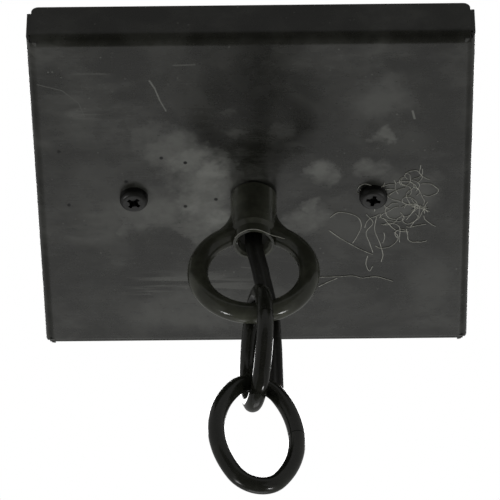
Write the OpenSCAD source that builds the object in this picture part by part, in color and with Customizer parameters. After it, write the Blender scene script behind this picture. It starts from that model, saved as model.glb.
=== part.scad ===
// Square ceiling canopy with a cast loop, two chain links and a twin-core supply cord.
// Millimetres. The origin is at the middle of the ceiling plane, where the mounting
// strap meets the ceiling box. +Z points up into the ceiling, and everything hangs
// towards -Z. The strap and the two canopy screws lie along X.

/* [Canopy pan] */
// Width and length of the square pan
canopy_w = 127; // [110:1:150]
// Height of the pan from its rim to its lower face
canopy_h = 13.5; // [13:0.1:16]
// Thickness of the sheet
sheet = 1.2; // [0.8:0.1:1.4]
// Outer radius of the folds
bend_r = 3; // [2:0.1:4]
// Radius of the free corners of each flange
lip_r = 2; // [1:0.1:3]
// Diameter of the relief hole in each folded corner
relief_d = 1.1; // [1:0.1:2.2]

/* [Canopy screws] */
// Distance between the two canopy screws
screw_span = 69.85; // [60:0.05:80]
// Thread diameter of a canopy screw
screw_d = 4.06; // [3.5:0.01:4.5]
// Length of a canopy screw under its head
screw_len = 19; // [17:0.5:25]
// Diameter of the pan head
screw_head_d = 8.2; // [7:0.1:9]
// Height of the pan head
screw_head_h = 2.6; // [2:0.1:3]

/* [Mounting strap] */
// Overall length of the strap
strap_len = 108; // [105:1:115]
// Width of the strap
strap_w = 19; // [16:0.5:22]
// Thickness of the strap
strap_t = 2; // [1.5:0.1:2.5]
// Distance between the two slots for the ceiling box screws
box_span = 88.9; // [86:0.1:92]
// Width of each slot
slot_w = 4.8; // [4:0.1:5.5]
// End to end length of each slot
slot_len = 11; // [8:0.5:12]
// Distance of the ground screw from the middle
ground_x = 20; // [17:0.5:24]

/* [Neck and loop] */
// Diameter of the neck
neck_d = 13.5; // [12.5:0.1:15]
// Outside diameter of the ring
ring_od = 38.1; // [36:0.1:42]
// Diameter of the ring's round section
ring_wire = 6; // [5:0.1:7]
// Drop from the pan's lower face to the middle of the ring
ring_drop = 30.8; // [30:0.1:32]
// Diameter of the boss inside the ring
boss_d = 12; // [11:0.1:13]
// Drop from the pan's lower face to the end of the boss
boss_drop = 19.7; // [19:0.1:21]
// Diameter of the hollow threaded nipple
nipple_d = 9.9; // [9.5:0.1:10]
// Bore of the nipple
nipple_bore = 7; // [6.5:0.1:7.2]
// Length of the nipple
nipple_len = 19; // [18:0.5:20]

/* [Chain] */
// Outside width of a link
link_w = 28; // [27.6:0.1:30]
// Outside height of a link
link_h = 42.4; // [41:0.1:43]
// Diameter of the link wire
link_wire = 4.8; // [4.4:0.1:5]
// Turn of the upper link about the vertical
link_1_turn = -77; // [-90:1:-70]
// Turn of the lower link about the vertical
link_2_turn = 16; // [0:1:20]
// Sideways place of the chain on the ring
chain_x = 0.8; // [-1:0.1:1]

/* [Cord] */
// Diameter over both cores of the supply cord
cord_d = 5; // [4.6:0.1:5]
// Diameter of one insulated core
core_d = 2.5; // [2.3:0.1:2.5]

/* [Hidden] */

$fn = 64;
eps = 0.01;
fit_gap = 0.05;   // radial gap of a screw in its tapped hole
chain_gap = 0.15; // gap where one link hangs in the next

face_z = -canopy_h;
floor_z = face_z + sheet;
half_w = canopy_w / 2;
flange_gap = 0.05; // between a flange's end and the next flange
flange_half = half_w - sheet - flange_gap;

nipple_hole_d = nipple_d + 0.5;
screw_hole_d = screw_d + 0.8;

washer_t = 1;
lock_t = 1.2;
nut_h = 4;
nut_flats = 14.3;
nipple_top = floor_z + washer_t + lock_t + nut_h + 0.2;
nipple_end = nipple_top - nipple_len;

ring_r = (ring_od - ring_wire) / 2;
ring_z = face_z - ring_drop;
ring_low_z = ring_z - ring_r;
boss_z = face_z - boss_drop;
// Each shoulder is an arc that leaves the neck straight down and joins the ring.
shoulder_r = 12;
shoulder_wire = ring_wire - 0.2;
shoulder_x = neck_d / 2 + shoulder_r;
shoulder_z = ring_z + sqrt(pow(ring_od / 2 + shoulder_r, 2) - pow(shoulder_x, 2));
shoulder_angle = atan2(shoulder_z - ring_z, shoulder_x);
web_t = 4.4;
neck_low_z = boss_z + 4.5;
mouth_bevel = 0.8;
bushing_h = 4;
bushing_d = 9;
bushing_z = boss_z + 3.6;

// A link is an oval of four arcs: two end arcs and two flatter side arcs. The arcs
// meet on lines that rise 3 for every 4 sideways, so the centres of a side arc and
// an end arc are 5 apart on the same scale.
link_a = (link_w - link_wire) / 2;
link_b = (link_h - link_wire) / 2;
end_r = (3 * link_a - link_b) / 2;
end_c = 3 * (link_a - end_r);
side_c = 4 * (link_a - end_r);
side_r = side_c + link_a;
side_angle = atan2(3, 4);
seam_rise = 2;
seam_w = 0.2;

link_1_top = ring_low_z + ring_wire / 2 + link_wire / 2 + chain_gap;
link_1_z = link_1_top - link_b;
link_2_top = link_1_z - link_b + link_wire + chain_gap;
link_2_z = link_2_top - link_b;

nut_x = 19;
nut_y = 28;
nut_z = floor_z + 4.8;
nut_len = 18;
grip = 12;

cord_top = bushing_z + bushing_h;
// Route of the supply cord: out of the boss, behind the ring and down beside the upper link.
cord_route = [
    [0, 0, cord_top], [0, 0, -28], [0, 0, -30.6], [0.1, 0, -33.2], [0.5, 0.2, -35.8], [1.1, 0.7, -38.6],
    [1.8, 1.4, -41.5], [2.4, 2.4, -44.5], [3.1, 3.5, -47.5], [3.8, 4.6, -50.5], [4.4, 5.6, -53.5],
    [4.9, 6.3, -56.5], [5.2, 6.7, -60], [5.4, 7, -64], [5.6, 7.1, -68], [5.7, 7.2, -72],
    [5.8, 7.2, -76], [5.9, 7.2, -80], [6, 7.2, -83], [6, 7.2, -86]
];
// Routes of the two cores and of the ground wire inside the pan.
lead_x = core_d / 2 + 0.05;
lead_top = nipple_top + core_d / 2 + 0.2;
black_route = [
    [-lead_x, 0, cord_top], [-lead_x, 0, -21], [-lead_x, 0, -16.5], [-lead_x, 0, -12],
    [-lead_x, 0.2, -8.6], [-lead_x, 0.8, -6.6], [-lead_x, 2.1, -5], [-lead_x, 4, lead_top],
    [-1.5, 7, lead_top], [-2.4, 11, -4.8], [-4.4, 16, -5.4], [-7.4, 21, -6.3], [-11.4, 25.3, -7.2],
    [-15.6, 27.6, nut_z], [-19, nut_y, nut_z], [-25, nut_y, nut_z], [-nut_x - grip, nut_y, nut_z]
];
white_route = [for (p = black_route) [-p[0], -p[1], p[2]]];
ground_route = [
    [ground_x, 7, -3.4], [ground_x, 9.8, -3.4], [19.8, 12.4, -3.7], [18.4, 15.6, -4.6], [16.2, 18.6, -5.6],
    [14.1, 21.4, -6.6], [13.2, 24, -7.3], [13.9, 26.5, nut_z], [16.2, 27.8, nut_z],
    [19.4, nut_y, nut_z], [25, nut_y, nut_z], [nut_x + grip, nut_y, nut_z]
];

function unit(v) = v / norm(v);
function along(route, i) =
    unit(route[min(i + 1, len(route) - 1)] - route[max(i - 1, 0)]);
function ring_points(centre, dir, r, sides, guide) =
    let (u = unit(cross(dir, guide)), v = cross(dir, u))
    [for (k = [0:sides - 1]) centre + r * (u * cos(360 * k / sides) + v * sin(360 * k / sides))];

// Round tube swept along a route of points, for a route that never runs along its guide.
module tube(route, d, sides, guide) {
    n = len(route);
    points = [for (i = [0:n - 1]) each ring_points(route[i], along(route, i), d / 2, sides, guide)];
    walls = [
        for (i = [0:n - 2], k = [0:sides - 1])
            [i * sides + k, i * sides + (k + 1) % sides,
             (i + 1) * sides + (k + 1) % sides, (i + 1) * sides + k]
    ];
    start = [for (k = [0:sides - 1]) sides - 1 - k];
    end = [for (k = [0:sides - 1]) (n - 1) * sides + k];
    polyhedron(points = points, faces = concat([start], walls, [end]), convexity = 6);
}

// Part of a wire ring about Z that lies within half_angle of +X.
module wire_arc(r, wire, half_angle) {
    reach = 2 * (r + wire);
    intersection() {
        rotate_extrude($fn = 128) translate([r, 0]) circle(d = wire, $fn = 32);
        rotate(half_angle) translate([-reach / 2, -reach, -wire]) cube([reach, reach, 2 * wire]);
        rotate(-half_angle) translate([-reach / 2, 0, -wire]) cube([reach, reach, 2 * wire]);
    }
}

// One side of the pan: a flange with round free corners and its quarter-round fold.
module pan_side() {
    intersection() {
        rotate([90, 0, 90])
            linear_extrude(2 * flange_half, center = true)
                union() {
                    translate([-half_w, face_z + bend_r]) square([sheet, canopy_h - bend_r]);
                    intersection() {
                        translate([-half_w, face_z]) square(bend_r);
                        difference() {
                            translate([-half_w + bend_r, face_z + bend_r]) circle(bend_r);
                            translate([-half_w + bend_r, face_z + bend_r]) circle(bend_r - sheet);
                        }
                    }
                }
        union() {
            translate([-flange_half, -half_w - 1, face_z - 1])
                cube([2 * flange_half, bend_r + 2, canopy_h + 1 - lip_r]);
            translate([-flange_half + lip_r, -half_w - 1, -lip_r - 1])
                cube([2 * (flange_half - lip_r), bend_r + 2, lip_r + 1]);
            for (s = [-1, 1])
                translate([s * (flange_half - lip_r), -half_w - 1, -lip_r])
                    rotate([-90, 0, 0]) cylinder(r = lip_r, h = bend_r + 2);
        }
    }
}

module canopy_pan() {
    color("#2b2b2a")
        difference() {
            union() {
                translate([-half_w + bend_r, -half_w + bend_r, face_z])
                    cube([canopy_w - 2 * bend_r, canopy_w - 2 * bend_r, sheet]);
                for (a = [0:90:270]) rotate(a) pan_side();
            }
            translate([0, 0, face_z - 1]) cylinder(d = nipple_hole_d, h = sheet + 2);
            for (s = [-1, 1])
                translate([s * screw_span / 2, 0, face_z - 1]) cylinder(d = screw_hole_d, h = sheet + 2);
            for (x = [-1, 1], y = [-1, 1])
                translate([x * flange_half, y * flange_half, face_z - 1]) cylinder(d = relief_d, h = bend_r + 1.4);
        }
}

module slot_hole() {
    cube([slot_len - slot_w, slot_w, strap_t + 2], center = true);
    for (s = [-1, 1])
        translate([s * (slot_len - slot_w) / 2, 0, 0]) cylinder(d = slot_w, h = strap_t + 2, center = true);
}

module mounting_strap() {
    color("#b9bcbd")
        difference() {
            translate([0, 0, -strap_t / 2]) {
                cube([strap_len - strap_w, strap_w, strap_t], center = true);
                for (s = [-1, 1])
                    translate([s * (strap_len - strap_w) / 2, 0, 0]) cylinder(d = strap_w, h = strap_t, center = true);
            }
            for (s = [-1, 1]) {
                translate([s * box_span / 2, 0, -strap_t / 2]) slot_hole();
                translate([s * screw_span / 2, 0, -strap_t - 1]) cylinder(d = screw_d + 2 * fit_gap, h = strap_t + 2);
            }
            translate([0, 0, -strap_t - 1]) cylinder(d = nipple_d, h = strap_t + 2);
            translate([ground_x, 0, -strap_t - 1]) cylinder(d = 4.8 + 2 * fit_gap, h = strap_t + 2);
        }
}

// Pan head that points down, with a cross recess, and its shank.
module canopy_screw() {
    edge = 1.3;
    difference() {
        union() {
            mirror([0, 0, 1])
                rotate_extrude() {
                    square([screw_head_d / 2 - edge, screw_head_h]);
                    square([screw_head_d / 2, screw_head_h - edge]);
                    intersection() {
                        translate([screw_head_d / 2 - edge, screw_head_h - edge]) circle(edge);
                        square(screw_head_d);
                    }
                }
            cylinder(d = screw_d, h = screw_len - 0.8);
            translate([0, 0, screw_len - 0.8]) cylinder(d1 = screw_d, d2 = screw_d - 1.4, h = 0.8);
        }
        for (a = [0, 90])
            rotate(a) translate([0, 0, -screw_head_h]) cube([4.2, 1.1, 3.4], center = true);
        translate([0, 0, -screw_head_h - eps]) cylinder(d1 = 2.6, d2 = 0.8, h = 2.2);
    }
}

module canopy_screw_left() {
    color("#262625") translate([-screw_span / 2, 0, face_z]) rotate(38) canopy_screw();
}

module canopy_screw_right() {
    color("#262625") translate([screw_span / 2, 0, face_z]) rotate(12) canopy_screw();
}

// Neck, ring and boss, cast in one piece.
module neck_loop() {
    bite = 1;
    color("#232322")
        difference() {
            union() {
                translate([0, 0, ring_z]) rotate([90, 0, 0])
                    rotate_extrude() translate([ring_r, 0]) circle(d = ring_wire, $fn = 40);
                translate([0, 0, neck_low_z]) cylinder(d = neck_d, h = face_z - bite - neck_low_z);
                translate([0, 0, face_z - bite]) cylinder(d1 = neck_d, d2 = neck_d - 2 * bite, h = bite);
                translate([0, 0, neck_low_z - 1.5]) cylinder(d1 = boss_d, d2 = neck_d, h = 1.5);
                translate([0, 0, boss_z]) cylinder(d = boss_d, h = neck_low_z - boss_z);
                rotate([90, 0, 0]) linear_extrude(web_t, center = true) web_outline();
                for (s = [0, 180]) rotate(s) shoulder();
            }
            translate([0, 0, nipple_end - 0.4]) cylinder(d = nipple_d + 2 * fit_gap, h = nipple_len);
            translate([0, 0, boss_z - 1]) cylinder(d = nipple_bore + 0.3, h = boss_drop);
            translate([0, 0, boss_z - eps])
                cylinder(d = bushing_d + 2 * fit_gap, h = bushing_z + bushing_h - boss_z + eps);
            translate([0, 0, boss_z - eps])
                cylinder(d1 = bushing_d + 2 * mouth_bevel, d2 = bushing_d, h = mouth_bevel);
        }
}

// Flat web between the two shoulders and the top of the ring.
module web_outline() {
    join_x = ring_r * cos(shoulder_angle);
    join_z = ring_z + ring_r * sin(shoulder_angle);
    top_x = (neck_d - ring_wire) / 2;
    polygon([
        [-top_x, shoulder_z], [top_x, shoulder_z], [join_x, join_z],
        [0, ring_z + ring_r], [-join_x, join_z]
    ]);
}

// The shoulder on the +X side.
module shoulder() {
    translate([shoulder_x, 0, shoulder_z]) rotate([90, 0, 0]) rotate(180 + shoulder_angle / 2)
        wire_arc(shoulder_r + ring_wire / 2, shoulder_wire, shoulder_angle / 2);
}

module nipple() {
    color("#c2a15a")
        translate([0, 0, nipple_end])
            difference() {
                cylinder(d = nipple_d, h = nipple_len);
                translate([0, 0, -1]) cylinder(d = nipple_bore, h = nipple_len + 2);
            }
}

module flat_washer() {
    color("#c4c6c7")
        translate([0, 0, floor_z])
            difference() {
                cylinder(d = 25, h = washer_t);
                translate([0, 0, -1]) cylinder(d = nipple_hole_d, h = washer_t + 2);
            }
}

module lock_washer() {
    color("#aeb1b3")
        translate([0, 0, floor_z + washer_t])
            difference() {
                cylinder(d = 15.5, h = lock_t);
                translate([0, 0, -1]) cylinder(d = nipple_d + 0.4, h = lock_t + 2);
                rotate(-50) translate([0, -0.5, -1]) cube([12, 1, lock_t + 2]);
            }
}

module hex_nut() {
    color("#c2a15a")
        translate([0, 0, floor_z + washer_t + lock_t])
            difference() {
                cylinder(d = nut_flats / cos(30), h = nut_h, $fn = 6);
                translate([0, 0, -1]) cylinder(d = nipple_d + 2 * fit_gap, h = nut_h + 2);
            }
}

module cord_bushing() {
    color("#1b1b1b")
        translate([0, 0, bushing_z])
            difference() {
                cylinder(d = bushing_d, h = bushing_h);
                translate([0, 0, -1]) cylinder(d = cord_d - 0.2, h = bushing_h + 2);
            }
}

module supply_cord() {
    color("#1d1d1e") tube(cord_route, cord_d, 10, [1, 1, 0]);
}

module lead_black() {
    color("#171717") tube(black_route, core_d, 8, [1, 1, -1]);
}

module lead_white() {
    color("#d9d7cf") tube(white_route, core_d, 8, [1, 1, 1]);
}

// Twist-on connector along +X, mouth at the origin.
module wire_nut() {
    rotate([0, 90, 0])
        difference() {
            union() {
                cylinder(d = 9.4, h = 3);
                translate([0, 0, 3]) cylinder(d1 = 8.8, d2 = 6.4, h = nut_len - 4);
                translate([0, 0, nut_len - 1]) cylinder(d1 = 6.4, d2 = 4.8, h = 1);
            }
            translate([0, 0, -1]) cylinder(d = 6.6, h = 4);
            translate([0, 0, 3 - eps]) cylinder(d1 = 6.6, d2 = core_d + 0.1, h = grip - 3 + eps);
        }
}

module wire_nut_black() {
    color("#d9822b") translate([-nut_x, nut_y, nut_z]) mirror([1, 0, 0]) wire_nut();
}

module wire_nut_white() {
    color("#d9822b") translate([nut_x, -nut_y, nut_z]) wire_nut();
}

module wire_nut_ground() {
    color("#2f7d43") translate([nut_x, nut_y, nut_z]) wire_nut();
}

module ground_screw() {
    color("#2f8a4a")
        translate([ground_x, 0, -strap_t - 0.8])
            difference() {
                union() {
                    translate([0, 0, -1]) cylinder(d = 9, h = 1);
                    translate([0, 0, -3.6]) cylinder(d = 6.4 / cos(30), h = 2.7, $fn = 6);
                    cylinder(d = 4.8, h = 8);
                }
                translate([0, 0, -3.6]) cube([7, 1.1, 2.4], center = true);
            }
}

module ground_terminal() {
    color("#b88a55")
        translate([ground_x, 0, -strap_t - 0.8])
            difference() {
                union() {
                    cylinder(d = 8.6, h = 0.8);
                    translate([-1.4, 0, 0]) cube([2.8, 6, 0.8]);
                    translate([0, 5.4, -0.6]) rotate([-90, 0, 0]) cylinder(d = 2.8, h = 5);
                }
                translate([0, 0, -1]) cylinder(d = 4.9, h = 3);
                translate([0, 7, -0.6]) rotate([-90, 0, 0]) cylinder(d = 2.2, h = 4);
            }
}

module ground_wire() {
    color("#2f8a4a") tube(ground_route, 2.1, 8, [0, 0, 1]);
}

// Oval link in the XZ plane, with the butt joint of its wire on the +X side.
module chain_link() {
    difference() {
        rotate([90, 0, 0])
            for (s = [0, 180]) rotate(s) {
                translate([0, end_c, 0]) rotate(90) wire_arc(end_r, link_wire, 90 - side_angle);
                translate([-side_c, 0, 0]) wire_arc(side_r, link_wire, side_angle);
            }
        translate([link_a, 0, seam_rise]) rotate([0, -8, 0])
            cube([link_wire + 2, link_wire + 2, seam_w], center = true);
    }
}

module link_1() {
    color("#242423") translate([chain_x, 0, link_1_z]) rotate(link_1_turn) chain_link();
}

module link_2() {
    color("#242423") translate([chain_x, 0, link_2_z]) rotate(link_2_turn) chain_link();
}

canopy_pan();
mounting_strap();
canopy_screw_left();
canopy_screw_right();
neck_loop();
nipple();
flat_washer();
lock_washer();
hex_nut();
cord_bushing();
supply_cord();
lead_black();
lead_white();
wire_nut_black();
wire_nut_white();
ground_screw();
ground_terminal();
ground_wire();
wire_nut_ground();
link_1();
link_2();
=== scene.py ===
import math
import random

import bpy
import bmesh
from mathutils import Matrix, Vector


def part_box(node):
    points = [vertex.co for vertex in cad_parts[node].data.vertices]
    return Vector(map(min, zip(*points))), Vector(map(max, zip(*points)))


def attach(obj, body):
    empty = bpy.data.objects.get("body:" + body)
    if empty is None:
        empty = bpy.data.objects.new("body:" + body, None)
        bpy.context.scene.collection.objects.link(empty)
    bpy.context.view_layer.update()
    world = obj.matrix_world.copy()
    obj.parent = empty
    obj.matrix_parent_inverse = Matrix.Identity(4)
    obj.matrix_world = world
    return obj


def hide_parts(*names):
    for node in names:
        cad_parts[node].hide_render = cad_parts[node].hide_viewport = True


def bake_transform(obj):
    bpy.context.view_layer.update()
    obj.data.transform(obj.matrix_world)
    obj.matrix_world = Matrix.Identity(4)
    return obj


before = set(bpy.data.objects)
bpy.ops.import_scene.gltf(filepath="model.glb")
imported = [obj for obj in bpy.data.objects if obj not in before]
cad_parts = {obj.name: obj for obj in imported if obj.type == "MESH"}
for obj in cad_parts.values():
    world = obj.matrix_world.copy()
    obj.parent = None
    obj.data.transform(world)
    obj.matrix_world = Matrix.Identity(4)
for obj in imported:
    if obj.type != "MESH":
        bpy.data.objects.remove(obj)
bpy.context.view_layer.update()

MM = 0.001
random.seed(7)

FACE_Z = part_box("canopy_pan")[0].z
RIGHT_LOW, RIGHT_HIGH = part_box("canopy_screw_right")
RIGHT_SCREW = (RIGHT_LOW + RIGHT_HIGH) / 2


# ---------------------------------------------------------------- camera
CAMERA_AZIMUTH = math.radians(0.8)
CAMERA_ELEVATION = math.radians(-43.91)
CAMERA_DISTANCE = 1.3006
CAMERA_LENS = 324.6
CAMERA_AIM = Vector((-1.04, 0, -35.34)) * MM


def make_camera():
    data = bpy.data.cameras.new("camera")
    data.lens = CAMERA_LENS
    data.sensor_width = 36
    data.clip_start = 0.05
    data.clip_end = 50
    camera = bpy.data.objects.new("camera", data)
    bpy.context.scene.collection.objects.link(camera)
    flat = math.cos(CAMERA_ELEVATION)
    away = Vector((
        math.sin(CAMERA_AZIMUTH) * flat,
        -math.cos(CAMERA_AZIMUTH) * flat,
        math.sin(CAMERA_ELEVATION),
    ))
    camera.location = CAMERA_AIM + CAMERA_DISTANCE * away
    camera.rotation_euler = (-away).to_track_quat("-Z", "Y").to_euler()
    bpy.context.scene.camera = camera


make_camera()


# ---------------------------------------------------------------- mesh helpers
def new_piece(name, bm, smooth_angle=40):
    """A mesh object from bm, shaded smooth up to an angle in degrees."""
    mesh = bpy.data.meshes.new(name)
    bmesh.ops.recalc_face_normals(bm, faces=bm.faces)
    for edge in bm.edges:
        edge.smooth = edge.calc_face_angle(0) < math.radians(smooth_angle)
    for face in bm.faces:
        face.smooth = True
    bm.to_mesh(mesh)
    bm.free()
    piece = bpy.data.objects.new(name, mesh)
    bpy.context.scene.collection.objects.link(piece)
    return piece


def smooth_path(points, per_span=6):
    """Catmull-Rom curve through the points."""
    ends = [2 * points[0] - points[1], *points, 2 * points[-1] - points[-2]]
    path = []
    for a, b, c, d in zip(ends, ends[1:], ends[2:], ends[3:]):
        for i in range(per_span):
            t = i / per_span
            path.append(0.5 * (
                2 * b + (c - a) * t + (2 * a - 5 * b + 4 * c - d) * t ** 2
                + (3 * b - a - 3 * c + d) * t ** 3
            ))
    return path + [points[-1]]


def frames_along(path, first_side=None):
    """(tangent, side) at each point, with the side carried along without twist."""
    tangents = []
    for i in range(len(path)):
        tangents.append((path[min(i + 1, len(path) - 1)] - path[max(i - 1, 0)]).normalized())
    side = first_side or tangents[0].orthogonal()
    frames = []
    for tangent in tangents:
        side = (side - side.dot(tangent) * tangent).normalized()
        frames.append((tangent, side))
    return frames


def add_tube(bm, path, radius, sides):
    """Closed tube along path."""
    rings = []
    for point, (tangent, side) in zip(path, frames_along(path)):
        other = tangent.cross(side)
        rings.append([
            bm.verts.new(point + radius * (math.cos(a) * side + math.sin(a) * other))
            for a in (2 * math.pi * k / sides for k in range(sides))
        ])
    close_rings(bm, rings)


def close_rings(bm, rings):
    """Walls between the rings and a cap at each end."""
    sides = len(rings[0])
    for low, high in zip(rings, rings[1:]):
        for k in range(sides):
            bm.faces.new((low[k], low[(k + 1) % sides], high[(k + 1) % sides], high[k]))
    bm.faces.new(rings[0][::-1])
    bm.faces.new(rings[-1])


def add_lathe(bm, outline, place, sides=32, flute=None):
    """Surface of revolution about Z of (radius, z) points; flute(angle, z) scales the radius."""
    rings = []
    for r, z in outline:
        if r == 0:
            rings.append([bm.verts.new(place @ Vector((0, 0, z)))])
            continue
        ring = []
        for k in range(sides):
            a = 2 * math.pi * k / sides
            scaled = r * (flute(a, z) if flute else 1)
            ring.append(bm.verts.new(place @ Vector((scaled * math.cos(a), scaled * math.sin(a), z))))
        rings.append(ring)
    for low, high in zip(rings, rings[1:]):
        for k in range(sides):
            j = (k + 1) % sides
            if len(low) == 1:
                bm.faces.new((low[0], high[j], high[k]))
            elif len(high) == 1:
                bm.faces.new((low[k], low[j], high[0]))
            else:
                bm.faces.new((low[k], low[j], high[j], high[k]))


# ---------------------------------------------------------------- cord
CORD_ROUTE = [
    (0, 0, -25.6), (0, 0, -28), (0, 0, -30.6), (0.1, 0, -33.2), (0.5, 0.2, -35.8), (1.1, 0.7, -38.6),
    (1.8, 1.4, -41.5), (2.4, 2.4, -44.5), (3.1, 3.5, -47.5), (3.8, 4.6, -50.5), (4.4, 5.6, -53.5),
    (4.9, 6.3, -56.5), (5.2, 6.7, -60), (5.4, 7, -64), (5.6, 7.1, -68), (5.7, 7.2, -72),
    (5.8, 7.2, -76), (5.9, 7.2, -80), (6, 7.2, -83), (6, 7.2, -86),
]
CORD_EXIT = CORD_ROUTE[3]
LOBE_R = 1.3 * MM
LOBE_GAP = 1.2 * MM
CORD_TURN = math.radians(25)
BARE_TIP = 3 * MM
# Each bare tip is one strand with the others round it. They start a little inside the insulation.
TIP_STRANDS = 7
STRAND_R = 0.17 * MM
STRAND_SPREAD = 0.36 * MM
TIP_OVERLAP = 0.2 * MM


def twin_outline(steps=12):
    """Outline of a flat two-core cord: two round lobes with a groove between them."""
    outline = []
    for lobe in (1, -1):
        for k in range(steps + 1):
            angle = math.radians(-138 + 276 * k / steps) + (0 if lobe > 0 else math.pi)
            outline.append((lobe * LOBE_GAP + LOBE_R * math.cos(angle), LOBE_R * math.sin(angle)))
    return outline


def cord_frames(path):
    """(width direction, thickness direction) along the cord, which turns slowly as it goes."""
    frames = []
    for i, (tangent, side) in enumerate(frames_along(path, Vector((1, 0, 0)))):
        turn = Matrix.Rotation(CORD_TURN * (i / len(path)) ** 2, 3, tangent)
        frames.append((turn @ side, turn @ tangent.cross(side)))
    return frames


def make_cord():
    route = smooth_path([Vector(p) * MM for p in CORD_ROUTE], 8)
    keep = [p for p in route if p.z > route[-1].z + BARE_TIP]
    frames = cord_frames(keep)
    bm = bmesh.new()
    rings = [
        [bm.verts.new(point + x * wide + y * thick) for x, y in twin_outline()]
        for point, (wide, thick) in zip(keep, frames)
    ]
    close_rings(bm, rings)
    cord_piece = new_piece("supply_cord_twin", bm, 50)
    tips = bmesh.new()
    for lobe in (1, -1):
        start = keep[-1] + lobe * LOBE_GAP * frames[-1][0] + Vector((0, 0, TIP_OVERLAP))
        for strand in range(TIP_STRANDS):
            turn = 2 * math.pi * strand / (TIP_STRANDS - 1)
            spread = STRAND_SPREAD if strand else 0
            offset = Vector((math.cos(turn), math.sin(turn), 0)) * spread
            reach = Vector((0, 0, -BARE_TIP * (0.8 + 0.02 * strand)))
            add_tube(tips, [start + offset, start + offset * 1.15 + reach], STRAND_R, 8)
    return cord_piece, new_piece("cord_tips", tips, 50), keep


cord, cord_tips, cord_route = make_cord()
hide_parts("supply_cord")
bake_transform(cord)
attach(cord_tips, "link_1")


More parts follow.
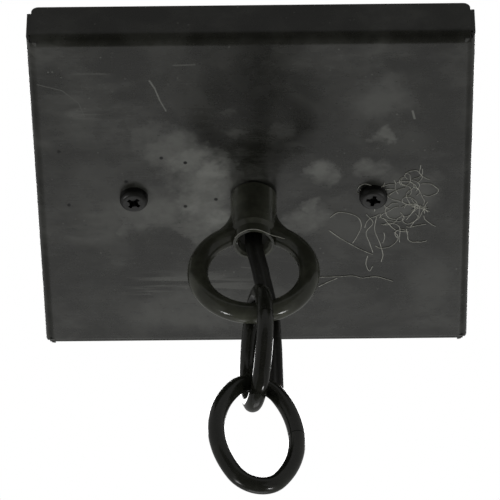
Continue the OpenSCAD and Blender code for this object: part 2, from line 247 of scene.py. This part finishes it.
# ---------------------------------------------------------------- material helpers
class Nodes:
    """A material under construction, with short calls for the nodes used here."""

    def __init__(self, name):
        self.material = bpy.data.materials.new(name)
        self.material.use_nodes = True
        self.tree = self.material.node_tree
        self.shader = self.tree.nodes["Principled BSDF"]
        self.object = self.tree.nodes.new("ShaderNodeTexCoord").outputs["Object"]

    def link(self, source, target):
        if isinstance(source, (int, float)):
            target.default_value = source
        elif isinstance(source, (tuple, list)):
            target.default_value = (*source, 1)[:len(target.default_value)]
        else:
            self.tree.links.new(source, target)

    def set(self, **values):
        for name, value in values.items():
            self.shader.inputs[name.replace("_", " ")].default_value = value

    def scaled(self, scale, rotation=(0, 0, 0)):
        node = self.tree.nodes.new("ShaderNodeMapping")
        node.inputs["Scale"].default_value = scale
        node.inputs["Rotation"].default_value = rotation
        self.link(self.object, node.inputs["Vector"])
        return node.outputs["Vector"]

    def noise(self, scale, detail=3, rough=0.5, vector=None, distortion=0):
        node = self.tree.nodes.new("ShaderNodeTexNoise")
        node.inputs["Scale"].default_value = scale
        node.inputs["Detail"].default_value = detail
        node.inputs["Roughness"].default_value = rough
        node.inputs["Distortion"].default_value = distortion
        self.link(vector or self.object, node.inputs["Vector"])
        return node.outputs["Fac"]

    def cells(self, scale, feature="F1"):
        node = self.tree.nodes.new("ShaderNodeTexVoronoi")
        node.feature = feature
        node.inputs["Scale"].default_value = scale
        self.link(self.object, node.inputs["Vector"])
        return node.outputs["Distance"]

    def math(self, kind, a, b=0.0):
        node = self.tree.nodes.new("ShaderNodeMath")
        node.operation = kind
        self.link(a, node.inputs[0])
        self.link(b, node.inputs[1])
        return node.outputs[0]

    def vector(self, kind, a, b=(0, 0, 0), out="Vector"):
        node = self.tree.nodes.new("ShaderNodeVectorMath")
        node.operation = kind
        self.link(a, node.inputs[0])
        self.link(b, node.inputs["Scale"] if kind == "SCALE" else node.inputs[1])
        return node.outputs[out]

    def ramp(self, value, low, high, to_low=0.0, to_high=1.0):
        """Smooth step from to_low at value low to to_high at value high."""
        node = self.tree.nodes.new("ShaderNodeMapRange")
        node.interpolation_type = "SMOOTHSTEP"
        for name, number in (("From Min", low), ("From Max", high), ("To Min", to_low), ("To Max", to_high)):
            node.inputs[name].default_value = number
        self.link(value, node.inputs["Value"])
        return node.outputs["Result"]

    def mix(self, factor, a, b):
        node = self.tree.nodes.new("ShaderNodeMix")
        node.data_type = "RGBA"
        self.link(factor, node.inputs["Factor"])
        self.link(a, node.inputs[6])
        self.link(b, node.inputs[7])
        return node.outputs[2]

    def bump(self, height, distance, strength=1.0):
        node = self.tree.nodes.new("ShaderNodeBump")
        node.inputs["Distance"].default_value = distance
        node.inputs["Strength"].default_value = strength
        self.link(height, node.inputs["Height"])
        self.link(node.outputs["Normal"], self.shader.inputs["Normal"])

    def flat(self):
        """The place on the pan's face: X and Y, with Z dropped."""
        return self.vector("MULTIPLY", self.object, (1, 1, 0))

    def wander(self, reach, scale):
        """The place on the face, moved about by noise, so that what is drawn with it gets ragged."""
        node = self.tree.nodes.new("ShaderNodeTexNoise")
        node.inputs["Scale"].default_value = scale
        node.inputs["Detail"].default_value = 5
        node.inputs["Roughness"].default_value = 0.62
        self.link(self.object, node.inputs["Vector"])
        shift = self.vector("SUBTRACT", node.outputs["Color"], (0.5, 0.5, 0.5))
        return self.vector("ADD", self.flat(), self.vector("MULTIPLY", shift, (reach, reach, 0)))

    def stroke(self, a, b, width):
        """Mask of a straight mark from a to b on the face, in millimetres."""
        start = Vector((*a, 0)) * MM
        run = Vector((*b, 0)) * MM - start
        here = self.vector("SUBTRACT", self.flat(), tuple(start))
        t = self.vector("DOT_PRODUCT", here, tuple(run / run.length_squared), "Value")
        t = self.clamped(t)
        gap = self.vector("SUBTRACT", here, self.vector("SCALE", tuple(run), t))
        distance = self.vector("LENGTH", gap, out="Value")
        return self.ramp(distance, width * MM * 0.25, width * MM * 0.75, 1, 0)

    def clamped(self, value):
        node = self.tree.nodes.new("ShaderNodeClamp")
        self.link(value, node.inputs["Value"])
        return node.outputs["Result"]

    def patch(self, centre, radii, edge=0.5, place=None):
        """Soft oval mask on the face, in millimetres."""
        here = self.vector("SUBTRACT", place or self.flat(), tuple(Vector((*centre, 0)) * MM))
        stretch = (1 / (radii[0] * MM), 1 / (radii[1] * MM), 0)
        distance = self.vector("LENGTH", self.vector("MULTIPLY", here, stretch), out="Value")
        return self.ramp(distance, 1 - edge, 1 + edge, 1, 0)

    def most(self, masks):
        total = masks[0]
        for mask in masks[1:]:
            total = self.math("MAXIMUM", total, mask)
        return total


def use(name, material):
    """Give a CAD piece its material."""
    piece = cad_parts[name]
    piece.data.materials.clear()
    piece.data.materials.append(material)


# ---------------------------------------------------------------- materials
# Straight marks on the pan's face, from and to in millimetres, with their width and strength.
SCRATCHES = [
    ((-29, -47), (-27.6, -44), 0.5), ((-27.6, -44), (-26.2, -39), 0.42),
    ((-26.2, -39), (-24.6, -35), 0.36), ((46, -34), (46.6, -31), 0.6),
]
# The same for fainter marks.
FAINT_SCRATCHES = [
    ((-61, -46), (-54, -43.5), 0.34), ((-54, -43.5), (-49.5, -38.5), 0.34),
    ((-49.5, -38.5), (-48, -33), 0.34), ((-22, -53), (-16, -53.2), 0.6), ((-4, 30), (3, 31), 0.3),
]
# Rubbed places where the dust lies in stripes along X: centre and radii.
RUBS = [((-46, -50), (6, 2)), ((-47, -42), (5, 4)), ((-48, -34), (6, 2.5)), ((-20, 38), (20, 6))]
# Dust films and thumb marks, drawn in a lighter grey: centre, radii and strength. The strongest, left of the
# neck, are also a painted sheen on the face.
FILMS_AND_SHEEN = [
    ((-14, 0), (8.5, 14), 1), ((-12, -8), (6, 7), 0.95), ((-20, -16), (6, 6), 0.7),
    ((-25, -21), (7, 6), 0.5), ((-30, -29), (5, 4), 0.3), ((-18, 14), (8, 3), 0.45),
    ((20, -10.5), (4, 4.8), 0.62), ((16, 5), (3, 3), 0.6), ((17.5, 10.5), (6, 5), 0.5),
    ((12, 13.5), (4, 3), 0.4), ((38, -24), (3, 2.5), 0.5), ((34, -9.5), (5, 4), 0.5),
    ((37, -38), (10, 8), 0.3), ((-5, -25.5), (4, 2), 0.22), ((8, -28.5), (3, 3.5), 0.15),
    ((-6, -35.5), (2.5, 1.5), 0.15), ((-37.5, 10.5), (3, 5), 0.4), ((-43, 8), (5, 5), 0.25),
    ((44, 0), (9, 9), 0.42), ((28, 16), (10, 8), 0.2), ((-30, 4), (10, 10), 0.48),
    ((-20, 48), (20, 8), 0.3), ((-45, 0), (10, 14), 0.2), ((52, 40), (8, 12), 0.2),
]
# Black specks in the paint.
SPECKS = [(-19.6, -14), (-20, 4), (-26.5, -16), (-37, -6.5), (-11, 1.2), (-56, -19), (-54, 3), (47, 6)]

PAINT_DEEP = (0.0080, 0.0082, 0.0058)
PAINT_THIN = (0.0150, 0.0154, 0.0118)
# Grey of the dust, films and marks; on the films left of the neck it is also a painted sheen.
DUST_AND_SHEEN_GREY = (0.245, 0.250, 0.232)
SPECK_BLACK = (0.002, 0.002, 0.002)


def canopy_paint():
    n = Nodes("canopy_paint")
    blotch = n.noise(55, 4, 0.6, distortion=0.6)
    cloud = n.noise(170, 3, 0.6)
    streak = n.noise(1, 4, 0.6, n.scaled((28, 900, 28)))
    grain = n.noise(2600, 2, 0.5)
    haze = n.math("MULTIPLY", n.ramp(n.noise(1, 5, 0.68, n.scaled((16, 38, 16))), 0.46, 0.7), 0.26)
    # Dust film; its spots left of the neck also paint a sheen there.
    film_and_sheen = n.math("ADD", n.math("MULTIPLY", n.ramp(blotch, 0.42, 0.72), 0.10), haze)
    ragged = n.wander(0.022, 75)
    for centre, radii, strength in FILMS_AND_SHEEN:
        spot = n.math("MULTIPLY", n.patch(centre, radii, 0.6, ragged), strength)
        film_and_sheen = n.math("MAXIMUM", film_and_sheen, spot)
    film_and_sheen = n.math("MULTIPLY", film_and_sheen, n.ramp(cloud, 0.3, 0.62, 0.6, 1.0))
    marks = n.most([n.stroke(a, b, w) for a, b, w in SCRATCHES])
    faint = n.most([n.stroke(a, b, w) for a, b, w in FAINT_SCRATCHES])
    wide_streak = n.noise(1, 3, 0.55, n.scaled((45, 480, 45)))
    rubs = n.math("MULTIPLY", n.most([n.patch(at, r) for at, r in RUBS]), n.ramp(wide_streak, 0.48, 0.62))
    specks = n.most([n.patch(at, (0.55, 0.6), 0.3) for at in SPECKS])
    dust = n.ramp(n.cells(420), 0.16, 0.1)
    dust = n.math("MULTIPLY", dust, n.ramp(n.noise(90), 0.52, 0.66))
    # Everything drawn lighter grey: dust, scratches, rubs, and the painted sheen left of the neck.
    light = n.most([film_and_sheen, n.math("MULTIPLY", marks, 0.7), n.math("MULTIPLY", faint, 0.32),
                    n.math("MULTIPLY", rubs, 0.3), n.math("MULTIPLY", dust, 0.4)])
    paint = n.mix(n.ramp(blotch, 0.35, 0.7), PAINT_DEEP, PAINT_THIN)
    colour = n.mix(light, paint, DUST_AND_SHEEN_GREY)
    colour = n.mix(specks, colour, SPECK_BLACK)
    n.link(colour, n.shader.inputs["Base Color"])
    rough = n.ramp(cloud, 0.3, 0.7, 0.24, 0.31)
    rough = n.math("ADD", rough, n.math("MULTIPLY", film_and_sheen, 0.16))
    rough = n.math("ADD", rough, n.math("MULTIPLY", n.math("SUBTRACT", streak, 0.5), 0.12))
    n.link(n.math("ADD", rough, n.math("MULTIPLY", specks, 0.3)), n.shader.inputs["Roughness"])
    height = n.math("ADD", n.math("MULTIPLY", grain, 0.35), n.math("MULTIPLY", streak, 0.65))
    n.bump(n.math("SUBTRACT", height, n.math("MULTIPLY", marks, 0.8)), 0.00003, 0.35)
    n.set(IOR=1.5)
    return n.material


def black_enamel(name, dark, rough_low, rough_high, dust_level):
    """Gloss black enamel with thin spots, chips of grey and a little dust."""
    n = Nodes(name)
    wave = n.noise(160, 3, 0.55)
    fine = n.noise(1400, 3, 0.6)
    worn = n.ramp(n.noise(330, 4, 0.65), 0.6, 0.74)
    dust = n.math("MULTIPLY", n.ramp(fine, 0.5, 0.72), dust_level)
    colour = n.mix(n.ramp(wave, 0.35, 0.7), dark, tuple(1.8 * c for c in dark))
    colour = n.mix(n.math("MULTIPLY", worn, 0.35), colour, (0.05, 0.05, 0.044))
    colour = n.mix(dust, colour, (0.11, 0.11, 0.1))
    n.link(colour, n.shader.inputs["Base Color"])
    rough = n.ramp(wave, 0.3, 0.7, rough_low, rough_high)
    n.link(n.math("ADD", rough, n.math("MULTIPLY", worn, 0.12)), n.shader.inputs["Roughness"])
    n.bump(n.math("ADD", n.math("MULTIPLY", wave, 0.8), n.math("MULTIPLY", fine, 0.2)), 0.00025, 0.35)
    n.set(IOR=1.5)
    return n.material


def plated(name, colour, rough, scratch=(25, 700, 25)):
    """Plated or turned metal with fine drawn lines and dull patches."""
    n = Nodes(name)
    lines = n.noise(1, 4, 0.6, n.scaled(scratch))
    patch = n.noise(120, 4, 0.6)
    dull = tuple(0.62 * c for c in colour)
    n.link(n.mix(n.ramp(patch, 0.35, 0.75), colour, dull), n.shader.inputs["Base Color"])
    level = n.ramp(patch, 0.3, 0.75, rough, rough + 0.18)
    level = n.math("ADD", level, n.math("MULTIPLY", n.math("SUBTRACT", lines, 0.5), 0.2))
    n.link(level, n.shader.inputs["Roughness"])
    n.bump(lines, 0.00004, 0.4)
    n.set(Metallic=1.0)
    return n.material


def plastic(name, colour, rough, grain=900, dust=0.12):
    """Moulded plastic or PVC with fine grain, slight colour drift and dust."""
    n = Nodes(name)
    drift = n.noise(140, 3, 0.55)
    fine = n.noise(grain, 3, 0.6)
    dark = tuple(0.7 * c for c in colour)
    tone = n.mix(n.ramp(drift, 0.3, 0.7), colour, dark)
    tone = n.mix(n.math("MULTIPLY", n.ramp(fine, 0.52, 0.75), dust), tone, (0.3, 0.29, 0.27))
    n.link(tone, n.shader.inputs["Base Color"])
    n.link(n.ramp(drift, 0.3, 0.7, rough, rough + 0.15), n.shader.inputs["Roughness"])
    n.bump(fine, 0.00006, 0.4)
    n.set(IOR=1.48)
    return n.material


def lint_fibre():
    n = Nodes("lint_fibre")
    tone = n.mix(n.ramp(n.noise(500), 0.35, 0.65), (0.46, 0.46, 0.42), (0.70, 0.70, 0.64))
    n.link(tone, n.shader.inputs["Base Color"])
    n.link(n.ramp(n.noise(900), 0.3, 0.7, 0.75, 0.95), n.shader.inputs["Roughness"])
    return n.material


# Loop and links share one enamel, but the loop's black is set lighter as painted light and the links' darker
# as painted shade; the screws' near black is painted shade on the heads.
enamel_loop = black_enamel("enamel_loop", (0.048, 0.050, 0.038), 0.11, 0.2, 0.05)
enamel_link = black_enamel("enamel_link", (0.012, 0.0125, 0.0095), 0.11, 0.2, 0.08)
enamel_screw = black_enamel("enamel_screw", (0.003, 0.003, 0.0025), 0.34, 0.5, 0.06)
zinc = plated("zinc_plate", (0.60, 0.61, 0.60), 0.3)
washer_zinc = plated("washer_plate", (0.66, 0.67, 0.67), 0.26, (60, 60, 60))
brass = plated("turned_brass", (0.70, 0.50, 0.20), 0.22, (40, 40, 2400))
copper = plated("bare_copper", (0.72, 0.38, 0.22), 0.25, (40, 40, 300))
green_steel = plated("green_steel", (0.05, 0.36, 0.14), 0.3)
cord_pvc = plastic("cord_pvc", (0.020, 0.020, 0.018), 0.3, 1200, 0.1)
core_black = plastic("core_black_pvc", (0.012, 0.012, 0.0125), 0.3, 1200, 0.06)
core_white = plastic("core_white_pvc", (0.74, 0.72, 0.66), 0.35, 1200, 0.2)
ground_pvc = plastic("ground_green_pvc", (0.035, 0.25, 0.075), 0.35, 1200, 0.08)
nut_orange = plastic("nut_orange_nylon", (0.80, 0.25, 0.04), 0.4)
nut_green = plastic("nut_green_nylon", (0.03, 0.24, 0.07), 0.4)
bushing_nylon = plastic("bushing_nylon", (0.035, 0.035, 0.03), 0.45)
lint = lint_fibre()

use("canopy_pan", canopy_paint())
use("neck_loop", enamel_loop)
for link_name in ("link_1", "link_2"):
    use(link_name, enamel_link)
for side_name in ("left", "right"):
    use("canopy_screw_" + side_name, enamel_screw)
use("mounting_strap", zinc)
use("flat_washer", washer_zinc)
use("lock_washer", washer_zinc)
use("hex_nut", brass)
use("cord_bushing", bushing_nylon)
use("ground_screw", green_steel)
use("ground_terminal", copper)
cord.data.materials.append(cord_pvc)
cord_tips.data.materials.append(copper)


# ---------------------------------------------------------------- wires, splices and threads
BLACK_ROUTE = [
    (-1.3, 0, -25.6), (-1.3, 0, -21), (-1.3, 0, -16.5), (-1.3, 0, -12), (-1.3, 0.2, -8.6),
    (-1.3, 0.8, -6.6), (-1.3, 2.1, -5), (-1.3, 4, -4.45), (-1.5, 7, -4.45), (-2.4, 11, -4.8),
    (-4.4, 16, -5.4), (-7.4, 21, -6.3), (-11.4, 25.3, -7.2), (-15.6, 27.6, -7.5), (-19, 28, -7.5),
    (-25, 28, -7.5), (-31, 28, -7.5),
]
WHITE_ROUTE = [(-x, -y, z) for x, y, z in BLACK_ROUTE]
GROUND_ROUTE = [
    (20, 7, -3.4), (20, 9.8, -3.4), (19.8, 12.4, -3.7), (18.4, 15.6, -4.6), (16.2, 18.6, -5.6),
    (14.1, 21.4, -6.6), (13.2, 24, -7.3), (13.9, 26.5, -7.5), (16.2, 27.8, -7.5), (19.4, 28, -7.5),
    (25, 28, -7.5), (31, 28, -7.5),
]
CORE_WIDTH = 2.5 * MM
GROUND_WIDTH = 2.1 * MM


def stand_in(node, bm, material, smooth_angle=40):
    """A finer piece from bm, in the given material, that replaces a CAD node and hangs on the canopy body.
    """
    piece = new_piece(node + "_detail", bm, smooth_angle)
    piece.data.materials.append(material)
    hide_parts(node)
    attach(piece, "canopy")


def make_wire(node, route, diameter, material):
    bm = bmesh.new()
    add_tube(bm, smooth_path([Vector(p) * MM for p in route], 4), diameter / 2, 16)
    stand_in(node, bm, material)


def make_wire_nut(node, material):
    """Twist-on connector: a plain skirt, then a fluted cone with a round end."""
    low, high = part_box(node)
    outward = math.copysign(1, low.x)
    mouth = Vector((min(abs(low.x), abs(high.x)) * outward, (low.y + high.y) / 2, (low.z + high.z) / 2))
    place = Matrix.Translation(mouth) @ Matrix.Rotation(outward * math.pi / 2, 4, "Y")
    outline = [
        (0, 12), (1.28, 12), (3.3, 3), (3.3, 0.3), (3.55, 0), (4.4, 0), (4.65, 0.3), (4.7, 0.8),
        (4.7, 2.4), (4.6, 2.8), (4.3, 3.1), (4.25, 3.6), (4.2, 4.2), (3.85, 7.5), (3.5, 11),
        (3.2, 14), (3.05, 15.6), (2.95, 16.4), (2.6, 17.2), (1.9, 17.8), (0.9, 18), (0, 18),
    ]

    def flute(angle, z):
        fade = max(0.0, min(1.0, (z - 3.6 * MM) / (0.8 * MM), (16.6 * MM - z) / (1.2 * MM)))
        return 1 + fade * (0.07 * abs(math.cos(8 * angle)) - 0.035)

    bm = bmesh.new()
    add_lathe(bm, [(r * MM, z * MM) for r, z in outline], place, 96, flute)
    bm.normal_update()
    stand_in(node, bm, material, 50)


def thread_rows(low_z, high_z, pitch):
    """Heights close enough together to show a thread of that pitch."""
    rows = round((high_z - low_z) / pitch * 6)
    return [low_z + (high_z - low_z) * i / rows for i in range(rows + 1)]


def thread_wave(pitch, depth, radius):
    """Scale of the radius round a right-hand V thread."""
    def wave(angle, z):
        turn = (z / pitch - angle / (2 * math.pi)) % 1
        return 1 - depth / radius * (1 - abs(2 * turn - 1))
    return wave


def make_threaded_nipple():
    low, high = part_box("nipple")
    outer, bore, pitch = (high.x - low.x) / 2, 3.5 * MM, 0.94 * MM
    wave = thread_wave(pitch, 0.45 * MM, outer)
    outline = [(outer, z) for z in thread_rows(low.z, high.z, pitch)]
    outline += [(bore, high.z), (bore, low.z)]
    bm = bmesh.new()
    add_lathe(bm, outline + outline[:1], Matrix(), 48, wave)
    bmesh.ops.remove_doubles(bm, verts=bm.verts, dist=1e-7)
    stand_in("nipple", bm, brass, 60)


def make_screw_thread(node):
    """The thread that shows on a canopy screw's shank, between the pan and its tip."""
    low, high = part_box(node)
    centre_x, pitch, crest = (low.x + high.x) / 2, 0.79 * MM, 2.22 * MM
    bottom, top = FACE_Z + 1.4 * MM, high.z - 0.7 * MM
    wave = thread_wave(pitch, 0.3 * MM, crest)
    outline = [(0, bottom)] + [(crest, z) for z in thread_rows(bottom, top, pitch)] + [(0, top)]
    bm = bmesh.new()
    add_lathe(bm, outline, Matrix.Translation((centre_x, 0, 0)), 36, wave)
    piece = new_piece(node + "_thread", bm, 60)
    piece.data.materials.append(zinc)
    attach(piece, "canopy")


make_wire("lead_black", BLACK_ROUTE, CORE_WIDTH, core_black)
make_wire("lead_white", WHITE_ROUTE, CORE_WIDTH, core_white)
make_wire("ground_wire", GROUND_ROUTE, GROUND_WIDTH, ground_pvc)
make_wire_nut("wire_nut_black", nut_orange)
make_wire_nut("wire_nut_white", nut_orange)
make_wire_nut("wire_nut_ground", nut_green)
make_threaded_nipple()
make_screw_thread("canopy_screw_left")
make_screw_thread("canopy_screw_right")


# ---------------------------------------------------------------- lint round the right screw, and a pale strand on the boss's rim that is partly a painted highlight
# Fibres on the face, each a list of places in millimetres from the right screw.
FIBRES = [
    [(-13, 14.5), (-9.5, 18), (-4, 22.5), (0, 25)],
    [(-12.5, 9), (-10, 7), (-6, 8), (-4, 10), (-3.5, 13.5), (-5, 18), (-6, 20)],
    [(-2, 8), (0, 11.5), (-2, 15.5), (-1, 20), (0, 24)],
    [(1, 9), (0.5, 14.5), (2, 20), (3, 25), (2.5, 28)],
    [(-1.5, 25.5), (-2, 29), (-1, 32), (0, 30)],
    [(-16, 34.5), (-9.5, 34.3), (-6, 34), (-3, 35), (1, 34.5), (6, 36.5)],
    [(-16, 38.5), (-13, 36.5), (-10.5, 35)],
    [(3, 9.5), (6.5, 14.5), (10.5, 15.5)],
]
FIBRE_R = 0.1 * MM
FIBRE_STEP = 1.5 * MM
LOOSE_FIBRES = 46
# One more hangs over the boss's front edge, in millimetres from the middle of the boss's end. Where it
# follows the rim it is a painted highlight on the rim's near edge; past the rim it is lint.
BOSS_END = Vector((0, 0, CORD_EXIT[2] * MM))
RIM_FIBRE_AND_HIGHLIGHT = [
    (-5.4, -3, -0.1), (-4, -4.7, -0.05), (-2, -5.9, 0.1), (0, -6.2, 0.2), (2, -5.8, 0.1), (4, -4.7, -0.05),
    (5.6, -4, -0.3), (7.2, -3.7, -0.6), (9, -3.2, -0.9),
]


def make_lint_and_rim_highlight():
    bm = bmesh.new()
    depth = FACE_Z - FIBRE_R * 1.2
    strands = [[Vector((RIGHT_SCREW.x + x * MM, y * MM, depth)) for x, y in fibre] for fibre in FIBRES]
    for _ in range(LOOSE_FIBRES):
        spot = Vector((RIGHT_SCREW.x + random.uniform(1, 17) * MM, random.uniform(-8, 16) * MM, depth))
        turn = random.uniform(0, 2 * math.pi)
        bend = random.uniform(-0.6, 0.6)
        strand = [spot]
        for _ in range(random.randint(3, 8)):
            turn += bend + random.uniform(-0.5, 0.5)
            strand.append(strand[-1] + FIBRE_STEP * Vector((math.cos(turn), math.sin(turn), 0)))
        strands.append(strand)
    # The rim strand: a painted highlight along the rim, lint past it.
    strands.append([BOSS_END + Vector(p) * MM for p in RIM_FIBRE_AND_HIGHLIGHT])
    for strand in strands:
        add_tube(bm, smooth_path(strand, 5), FIBRE_R, 6)
    piece = new_piece("lint", bm, 60)
    piece.data.materials.append(lint)
    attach(piece, "canopy")


make_lint_and_rim_highlight()


# ---------------------------------------------------------------- floor and light
FLOOR_Z = -1.6
FLOOR_HALF = 8
LAMP_AIM = (0, 0, -0.05)
# Lamps: place, size and radiance.
LAMPS = {
    "overhead": ((0, 0.9, 1.7), (1.8, 1.6), 5),
    "far_panel": ((0.1, 1.95, -1.5), (1.7, 1.2), 0.85),
    "side_box_left": ((-1.02, 0.12, -1.15), (0.17, 0.25), 22),
    "side_box_right": ((1.02, 0.12, -1.15), (0.17, 0.25), 22),
}
SKY_SEEN = 1
SKY_LIGHT = 0.27


def make_floor():
    bm = bmesh.new()
    bmesh.ops.create_grid(bm, x_segments=1, y_segments=1, size=FLOOR_HALF)
    bmesh.ops.translate(bm, verts=bm.verts, vec=(0, 0, FLOOR_Z))
    floor = new_piece("floor", bm)
    n = Nodes("pale_floor")
    tone = n.mix(n.noise(3, 2), (0.80, 0.80, 0.79), (0.84, 0.84, 0.83))
    n.link(tone, n.shader.inputs["Base Color"])
    n.set(Roughness=0.9)
    floor.data.materials.append(n.material)


def area_light(name, place, size, radiance):
    """Rectangular lamp, unseen itself, with an even glow of the given radiance."""
    data = bpy.data.lights.new(name, "AREA")
    data.shape = "RECTANGLE"
    data.size, data.size_y = size
    data.energy = radiance * math.pi * size[0] * size[1]
    lamp = bpy.data.objects.new(name, data)
    lamp.location = place
    lamp.rotation_euler = (Vector(LAMP_AIM) - Vector(place)).to_track_quat("-Z", "Y").to_euler()
    lamp.visible_camera = False
    bpy.context.scene.collection.objects.link(lamp)


def make_light():
    for name, (place, size, radiance) in LAMPS.items():
        area_light(name, place, size, radiance)


def make_flag():
    """Dark card under the object and upright before it, which only reflections and soft light see."""
    bm = bmesh.new()
    near, far, low, high = -2.1, 0.9, -1.5, 0.9
    rows = [
        [bm.verts.new((x, y, z)) for x in (-1.6, 1.6)]
        for y, z in ((far, low), (near, low), (near, high))
    ]
    for (a, b), (c, d) in zip(rows, rows[1:]):
        bm.faces.new((a, b, d, c))
    flag = new_piece("flag", bm)
    n = Nodes("flag_cloth")
    n.set(Base_Color=(0.2, 0.2, 0.18, 1), Roughness=0.95)
    flag.data.materials.append(n.material)
    flag.visible_camera = False
    flag.visible_shadow = False


def make_world():
    """White to the camera, dimmer and even as light."""
    world = bpy.data.worlds.new("world")
    bpy.context.scene.world = world
    world.use_nodes = True
    nodes, links = world.node_tree.nodes, world.node_tree.links
    nodes.clear()
    seen = nodes.new("ShaderNodeBackground")
    seen.inputs["Color"].default_value = (1, 1, 1, 1)
    seen.inputs["Strength"].default_value = SKY_SEEN
    even = nodes.new("ShaderNodeBackground")
    even.inputs["Color"].default_value = (1, 1, 0.98, 1)
    even.inputs["Strength"].default_value = SKY_LIGHT
    path = nodes.new("ShaderNodeLightPath")
    mix = nodes.new("ShaderNodeMixShader")
    out = nodes.new("ShaderNodeOutputWorld")
    links.new(path.outputs["Is Camera Ray"], mix.inputs["Fac"])
    links.new(even.outputs["Background"], mix.inputs[1])
    links.new(seen.outputs["Background"], mix.inputs[2])
    links.new(mix.outputs["Shader"], out.inputs["Surface"])


make_floor()
make_flag()
make_light()
make_world()
bpy.context.scene.view_settings.view_transform = "Standard"
